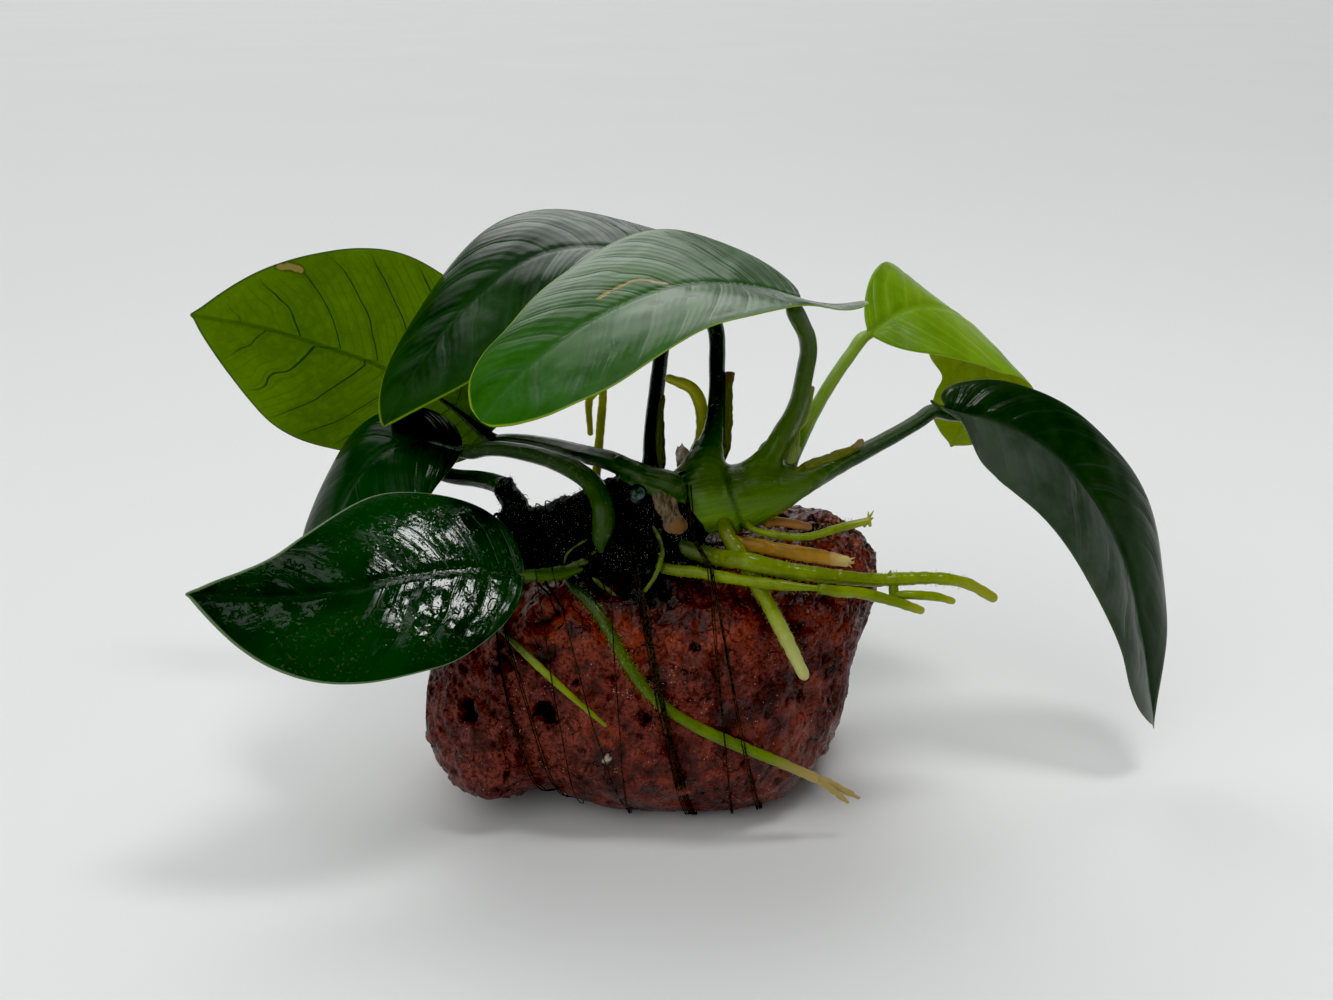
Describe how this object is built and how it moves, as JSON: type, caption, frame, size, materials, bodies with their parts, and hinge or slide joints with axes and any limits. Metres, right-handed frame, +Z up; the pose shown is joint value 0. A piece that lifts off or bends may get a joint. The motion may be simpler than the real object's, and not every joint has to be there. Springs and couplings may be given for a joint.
{
  "type": "anubias on stone",
  "caption": "Aquarium plant with broad glossy leaves on curved stalks, its creeping rhizome and roots bound with thread to a dark red lava stone with a flat base.",
  "frame": {"origin": "middle of the stone's flat underside, where it rests", "axes": "+X to the right and +Y away as seen from the front, +Z up"},
  "size_m": [0.2087, 0.1087, 0.113],
  "materials": {
    "stone": "satin",
    "rhizome": "satin",
    "leaf": "gloss",
    "leaf_underside": "satin",
    "young_leaf": "satin",
    "stalk": "gloss",
    "young_stalk": "satin",
    "sheath": "matte",
    "root": "satin",
    "root_brown": "satin",
    "bud": "matte",
    "cut_face": "satin",
    "thread": "matte"
  },
  "bodies": {
    "root": {"cut_stub": "cut_face", "lava_stone": "stone", "leaf_back_left": "leaf_underside", "leaf_front_left": "leaf", "leaf_left": "leaf", "leaf_low_left": "leaf", "leaf_rear": "leaf", "leaf_right": "leaf", "leaf_top": "leaf", "leaf_top_left": "leaf", "leaf_young": "young_leaf", "paper_bud": "bud", "rhizome": "rhizome", "root_air": "root", "root_brown": "root_brown", "root_curl": "root", "root_far": "root", "root_fork_low": "root", "root_fork_mid": "root", "root_hook": "root", "root_long": "root", "root_near": "root", "root_stout": "root", "root_tan": "root_brown", "root_thin": "root", "root_upper": "root", "sheath_rear": "sheath", "sheath_right": "sheath", "sheath_top_left": "sheath", "sheath_young": "sheath", "stalk_back_left": "stalk", "stalk_front_left": "stalk", "stalk_left": "stalk", "stalk_low_left": "stalk", "stalk_rear": "stalk", "stalk_right": "stalk", "stalk_top": "stalk", "stalk_top_left": "stalk", "stalk_young": "young_stalk", "thread_1": "thread", "thread_2": "thread", "thread_3": "thread", "thread_4": "thread", "thread_5": "thread", "thread_6": "thread", "thread_7": "thread"}
  },
  "joints": []
}
